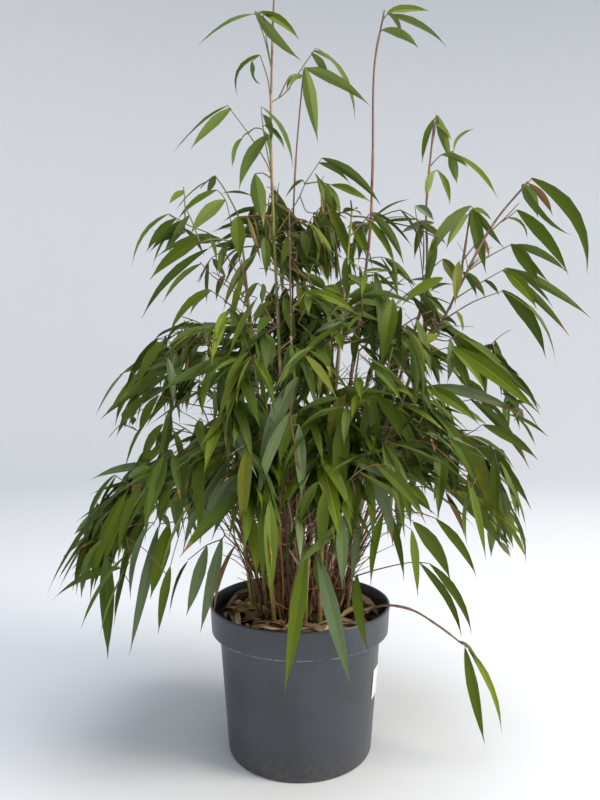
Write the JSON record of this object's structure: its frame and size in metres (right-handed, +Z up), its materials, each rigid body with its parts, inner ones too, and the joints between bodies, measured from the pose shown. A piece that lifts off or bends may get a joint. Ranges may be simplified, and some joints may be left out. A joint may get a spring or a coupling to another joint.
{
  "type": "potted bamboo",
  "caption": "Clump-forming bamboo in a grey nursery pot: thin culms that rise from compost and arch out under drooping masses of long narrow leaves.",
  "frame": {"origin": "centre of the pot's flat underside", "axes": "+Z up along the pot's axis to the top of the plant, -Y towards the front, +X to the right as seen from the front"},
  "size_m": [0.5286, 0.3924, 0.8406],
  "materials": {
    "pot_plastic": "moulded slate grey polypropylene with a faint grain, scuffed on its collar",
    "compost": "moist dark brown potting compost with bark crumbs",
    "old_stems": "brown and straw coloured thin stems, dull",
    "green_culm": "waxy green to yellow green culms with pale joints",
    "dark_culm": "purple brown culms with pinkish sheaths",
    "leaves": "satin green leaves with a paler midrib",
    "dry_sheaths": "papery straw coloured culm sheaths and fallen leaves",
    "label": "blank white sticker, slightly glossy"
  },
  "bodies": {
    "root": {"arching_culm": "dark_culm", "arching_lower_spray": "leaves", "arching_middle_spray": "leaves", "arching_spray": "leaves", "compost": "compost", "culm_back_left": "green_culm", "culm_back_right": "green_culm", "culm_front_left": "green_culm", "culm_front_right": "green_culm", "culm_left": "green_culm", "culm_right": "green_culm", "curled_spray": "leaves", "fork_bough": "dark_culm", "fork_spray": "leaves", "front_culm": "green_culm", "front_hanging_spray": "leaves", "heart_mass_low": "leaves", "heart_mass_middle": "leaves", "heart_mass_top": "leaves", "high_culm_back_left": "green_culm", "high_culm_back_right": "green_culm", "high_culm_front": "green_culm", "high_culm_left": "green_culm", "high_culm_right": "green_culm", "high_mass_back_left": "leaves", "high_mass_back_right": "leaves", "high_mass_front": "leaves", "high_mass_left": "leaves", "high_mass_right": "leaves", "leader_culm": "green_culm", "leader_left_spray": "leaves", "leader_middle_spray": "leaves", "leader_right_spray": "leaves", "low_mass_back_left": "leaves", "low_mass_back_right": "leaves", "low_mass_front_left": "leaves", "low_mass_front_right": "leaves", "low_mass_left": "leaves", "low_mass_right": "leaves", "lowest_culm": "dark_culm", "lowest_spray": "leaves", "middle_mass_back_left": "leaves", "middle_mass_back_right": "leaves", "middle_mass_front_left": "leaves", "middle_mass_front_right": "leaves", "middle_mass_left": "leaves", "middle_mass_right": "leaves", "pot": "pot_plastic", "right_culm": "dark_culm", "right_culm_spray": "leaves", "second_culm": "dark_culm", "second_culm_spray": "leaves", "small_right_spray": "leaves", "stem_clump": "old_stems", "third_culm": "dark_culm", "third_culm_spray": "leaves", "top_left_spray": "leaves", "top_spray": "leaves"}
  },
  "joints": []
}
